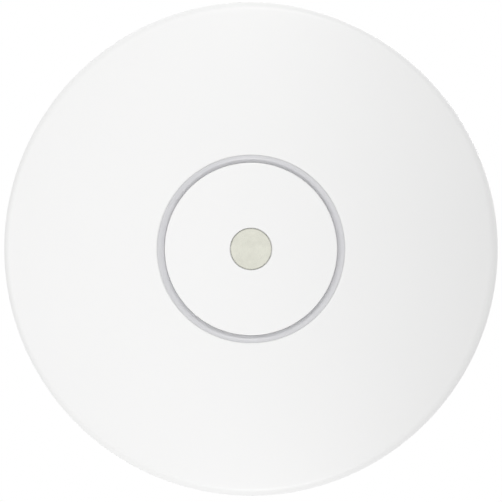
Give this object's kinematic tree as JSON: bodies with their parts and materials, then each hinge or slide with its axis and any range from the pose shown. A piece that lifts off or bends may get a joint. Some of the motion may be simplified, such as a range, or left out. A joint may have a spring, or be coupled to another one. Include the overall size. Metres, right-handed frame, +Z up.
{
  "type": "ceiling access point",
  "caption": "Round domed wireless access point with a ring groove around its centre cap, hanging from a twist-lock ceiling bracket.",
  "frame": {"origin": "centre of the bracket's back face, on the ceiling", "axes": "+Z up into the ceiling; the domed front faces -Z; the network sockets open towards -Y"},
  "size_m": [0.1968, 0.1968, 0.0549],
  "materials": {
    "white": "satin moulded white plastic",
    "light_guide": "translucent light guide, unlit",
    "badge": "plain polished silver inlay",
    "bracket": "powder-coated steel plate",
    "seal": "black seal",
    "aluminium": "cast and machined",
    "steel": "zinc-plated steel",
    "tin": "tin-plated sheet",
    "board": "solder mask",
    "chip": "black moulding compound",
    "pad": "soft heat-conducting pad",
    "lamp": "lamp, unlit",
    "grey": "grey button plastic",
    "black": "black moulded plastic"
  },
  "bodies": {
    "ceiling_mount": {"mounting_bracket": "bracket", "ceiling_screw_1": "steel", "ceiling_screw_2": "steel", "ceiling_screw_3": "steel", "ceiling_screw_4": "steel", "latch_rivet": "steel"},
    "access_point": {"back_housing": "white", "front_cover": "white", "centre_cap": "white", "light_ring": "light_guide", "centre_badge": "badge", "seal_gasket": "seal", "heat_plate": "aluminium", "main_board": "board", "processor": "chip", "memory_chip": "chip", "flash_chip": "chip", "radio_chip_1": "chip", "radio_chip_2": "chip", "thermal_pad_1": "pad", "thermal_pad_2": "pad", "thermal_pad_3": "pad", "shield_can_1": "tin", "shield_can_2": "tin", "shield_can_3": "tin", "jack_shell_1": "tin", "jack_shell_2": "tin", "jack_insert_1": "black", "jack_insert_2": "black", "transformer_1": "chip", "transformer_2": "chip", "power_inductor": "chip", "capacitor_1": "aluminium", "capacitor_2": "aluminium", "capacitor_3": "aluminium", "tact_switch": "black", "housing_screw_1": "steel", "board_screw_1": "steel", "antenna_1": "tin", "status_led_1": "lamp", "housing_screw_2": "steel", "board_screw_2": "steel", "antenna_2": "tin", "status_led_2": "lamp", "housing_screw_3": "steel", "board_screw_3": "steel", "antenna_3": "tin", "status_led_3": "lamp", "housing_screw_4": "steel", "board_screw_4": "steel", "antenna_4": "tin", "status_led_4": "lamp"},
    "latch": {"latch_spring": "steel"},
    "reset": {"reset_button": "grey"},
    "port_cover": {"port_cover": "white"}
  },
  "joints": [
    {"name": "twist_lock", "type": "hinge", "parent": "ceiling_mount", "child": "access_point", "pos_m": [0, 0, 0], "axis": [0, 0, 1], "range_deg": [0, 20]},
    {"name": "latch_lift", "type": "hinge", "parent": "ceiling_mount", "child": "latch", "pos_m": [-0.016, 0.034, -0.003], "axis": [0, -1, 0], "range_deg": [0, 4.5]},
    {"name": "reset_press", "type": "slide", "parent": "access_point", "child": "reset", "axis": [0, 1, 0], "range_m": [0, 0.0005], "stiffness_N_per_m": 600},
    {"name": "port_cover_slide", "type": "slide", "parent": "access_point", "child": "port_cover", "axis": [0, -1, 0], "range_m": [0, 0.008]}
  ],
  "couplings": [
    {"joint": "latch_lift", "follows": "twist_lock", "ratio": 0.215}
  ]
}
